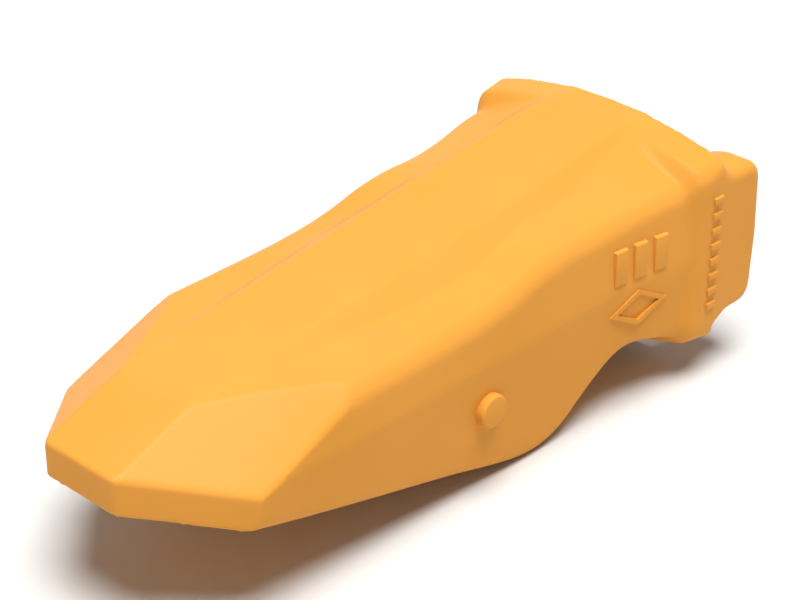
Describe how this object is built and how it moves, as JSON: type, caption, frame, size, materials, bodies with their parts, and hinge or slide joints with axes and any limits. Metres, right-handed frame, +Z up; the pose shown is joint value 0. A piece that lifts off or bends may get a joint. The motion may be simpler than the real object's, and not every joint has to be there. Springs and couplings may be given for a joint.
{
  "type": "excavator bucket tooth",
  "caption": "Long cast bucket tooth with a tapered adapter socket and a turnable half-moon lock pin in each rear ear.",
  "frame": {"origin": "middle of the adapter socket's mouth, on the collar's rear face", "axes": "-Y points along the tooth to its cutting edge, +Y out of the socket, +X to the right ear, +Z up"},
  "size_m": [0.1232, 0.3155, 0.1074],
  "materials": {
    "painted_cast_steel": "satin",
    "forged_pin_steel": "satin",
    "sleeve_polymer": "matte",
    "seal_rubber": "matte",
    "hardened_dowel_steel": "satin",
    "detent_rubber": "matte",
    "spring_steel": "satin",
    "zinc_plated_steel": "satin",
    "phosphated_steel": "matte",
    "cap_rubber": "matte"
  },
  "bodies": {
    "tip": {"tip_casting": "painted_cast_steel", "right_pin_sleeve": "sleeve_polymer", "right_disc_spring": "spring_steel", "right_thrust_washer": "zinc_plated_steel", "right_retaining_ring": "phosphated_steel", "left_pin_sleeve": "sleeve_polymer", "left_disc_spring": "spring_steel", "left_thrust_washer": "zinc_plated_steel", "left_retaining_ring": "phosphated_steel"},
    "right_lock": {"right_lock_pin": "forged_pin_steel", "right_upper_seal": "seal_rubber", "right_lower_seal": "seal_rubber", "right_stop_dowel": "hardened_dowel_steel", "right_detent_plug": "detent_rubber"},
    "right_cap": {"right_drive_cap": "cap_rubber"},
    "left_lock": {"left_lock_pin": "forged_pin_steel", "left_upper_seal": "seal_rubber", "left_lower_seal": "seal_rubber", "left_stop_dowel": "hardened_dowel_steel", "left_detent_plug": "detent_rubber"},
    "left_cap": {"left_drive_cap": "cap_rubber"}
  },
  "joints": [
    {"name": "right_lock_turn", "type": "hinge", "parent": "tip", "child": "right_lock", "pos_m": [0.045, 0.0088, 0], "axis": [0, 0, -1], "range_deg": [0, 180], "deforming": ["right_detent_plug"]},
    {"name": "right_cap_pull", "type": "slide", "parent": "right_lock", "child": "right_cap", "axis": [0, 0, -1], "range_m": [0, 0.012]},
    {"name": "left_lock_turn", "type": "hinge", "parent": "tip", "child": "left_lock", "pos_m": [-0.045, 0.0088, 0], "axis": [0, 0, -1], "range_deg": [0, 180], "deforming": ["left_detent_plug"]},
    {"name": "left_cap_pull", "type": "slide", "parent": "left_lock", "child": "left_cap", "axis": [0, 0, -1], "range_m": [0, 0.012]}
  ]
}
